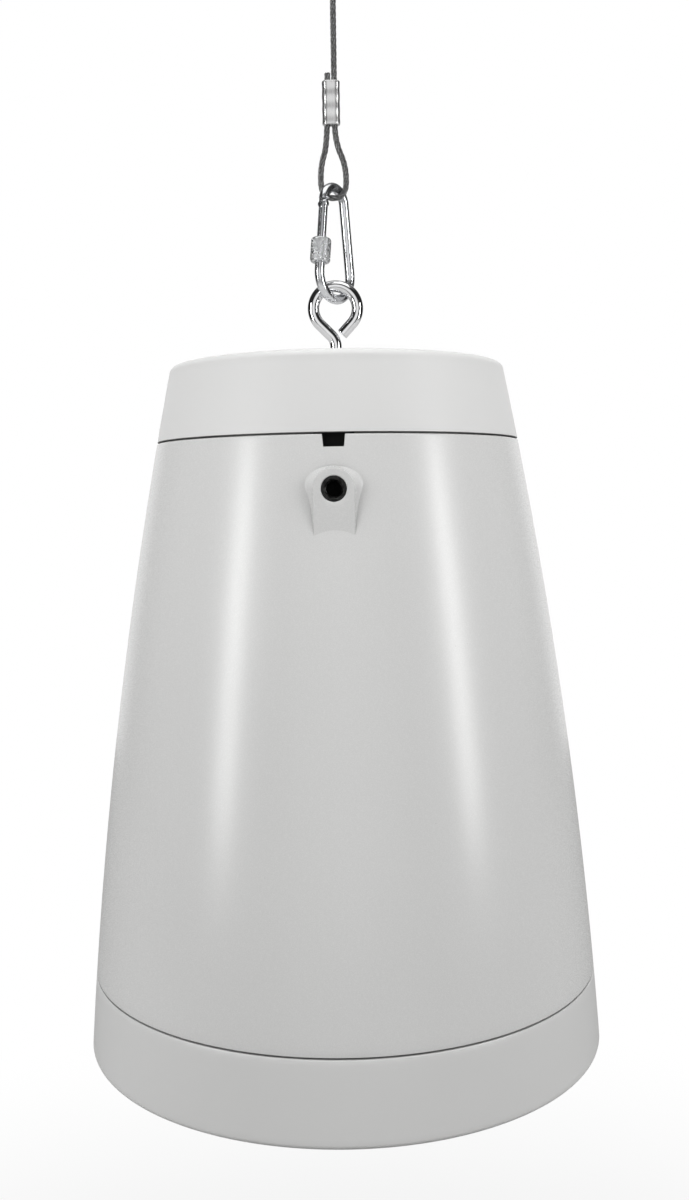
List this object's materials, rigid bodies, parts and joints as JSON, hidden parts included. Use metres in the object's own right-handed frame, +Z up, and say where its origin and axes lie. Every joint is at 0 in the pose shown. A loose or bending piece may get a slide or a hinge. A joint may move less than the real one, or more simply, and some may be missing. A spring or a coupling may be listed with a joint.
{
  "type": "ceiling speaker",
  "caption": "Pendant ceiling speaker: tapered moulded housing with cap and grille ring, hung by an eye bolt from a screw-lock carabiner and a looped wire rope.",
  "frame": {"origin": "where the rope's upper loop rests on its ceiling hook, on the speaker's plumb line", "axes": "+Z up along the hanging speaker's axis; -Y is the front, with the cable notch and the side boss; +X is to the right seen from the front"},
  "size_m": [0.2618, 0.2618, 0.5966],
  "materials": {
    "shell": "satin light grey, fine moulded grain",
    "eye_steel": "polished bright steel",
    "hook_steel": "bright zinc plate",
    "rope_steel": "bright galvanised strands",
    "ferrule_metal": "polished",
    "insert_metal": "plain",
    "screw_steel": "zinc plate",
    "plate_steel": "zinc plate",
    "black_plastic": "moulded black",
    "grille_steel": "light grey powder coat",
    "dark_cloth": "open weave",
    "basket_steel": "black paint",
    "yoke_steel": "zinc plate",
    "ferrite": "sintered",
    "copper": "enamelled wire",
    "paper": "pressed paper pulp",
    "black_rubber": "soft rubber",
    "spider_cloth": "resin-stiffened cloth",
    "dome_silk": "coated silk",
    "grey_foam": "closed-cell foam",
    "lamination": "stacked lamination",
    "board": "green board",
    "capacitor_film": "yellow film wrap",
    "wadding": "loose polyester"
  },
  "bodies": {
    "rope": {"wire_rope": "rope_steel", "lower_ferrule": "ferrule_metal", "upper_ferrule": "ferrule_metal"},
    "carabiner": {"carabiner_body": "hook_steel", "carabiner_gate": "hook_steel", "gate_rivet": "hook_steel"},
    "sleeve": {"lock_sleeve": "hook_steel"},
    "speaker": {"housing": "shell", "deck": "shell", "top_cap": "shell", "grille_ring": "shell", "grille": "grille_steel", "grille_cloth": "dark_cloth", "baffle": "black_plastic", "baffle_gasket": "grey_foam", "port_tubes": "black_plastic", "basket": "basket_steel", "top_plate": "yoke_steel", "magnet": "ferrite", "pole_piece": "yoke_steel", "surround": "black_rubber", "spider": "spider_cloth", "trim_gasket": "grey_foam", "tweeter_bridge": "black_plastic", "tweeter_body": "black_plastic", "tweeter_dome": "dome_silk", "tweeter_magnet": "ferrite", "hanging_plate": "plate_steel", "eye_bolt": "eye_steel", "eye_washers": "screw_steel", "eye_nuts": "screw_steel", "terminal_block": "black_plastic", "terminal_screws": "screw_steel", "terminal_feet_screws": "screw_steel", "tap_switch": "black_plastic", "tap_switch_nut": "screw_steel", "transformer_core": "lamination", "transformer_coil": "copper", "transformer_bracket": "plate_steel", "crossover_board": "board", "inductors": "copper", "capacitors": "capacitor_film", "damping_wadding": "wadding", "safety_insert": "insert_metal", "cap_screws": "screw_steel", "plate_screws": "screw_steel", "baffle_screws": "screw_steel", "ring_screws": "screw_steel", "driver_screws": "screw_steel", "bridge_screws": "screw_steel", "bracket_screws": "screw_steel", "board_screws": "screw_steel"},
    "cone_assembly": {"cone": "paper", "voice_coil": "copper", "dust_cap": "dark_cloth"},
    "knob": {"tap_knob": "black_plastic"}
  },
  "joints": [
    {"name": "carabiner_swing", "type": "hinge", "parent": "rope", "child": "carabiner", "pos_m": [0, 0, -0.1623], "axis": [0.6157, 0.788, 0], "range_deg": [-20, 20]},
    {"name": "speaker_swing", "type": "hinge", "parent": "carabiner", "child": "speaker", "pos_m": [0, 0, -0.2108], "axis": [1, 0, 0], "range_deg": [-20, 20]},
    {"name": "sleeve_travel", "type": "slide", "parent": "carabiner", "child": "sleeve", "axis": [0.0723, 0.0926, 0.9931], "range_m": [0, 0.008]},
    {"name": "cone_travel", "type": "slide", "parent": "speaker", "child": "cone_assembly", "axis": [0, 0, 1], "range_m": [-0.004, 0.004], "stiffness_N_per_m": 1700, "deforming": ["surround", "spider"]},
    {"name": "tap_turn", "type": "hinge", "parent": "speaker", "child": "knob", "pos_m": [0.038, 0.04, -0.2865], "axis": [0, 0, 1], "range_deg": [0, 150]}
  ]
}
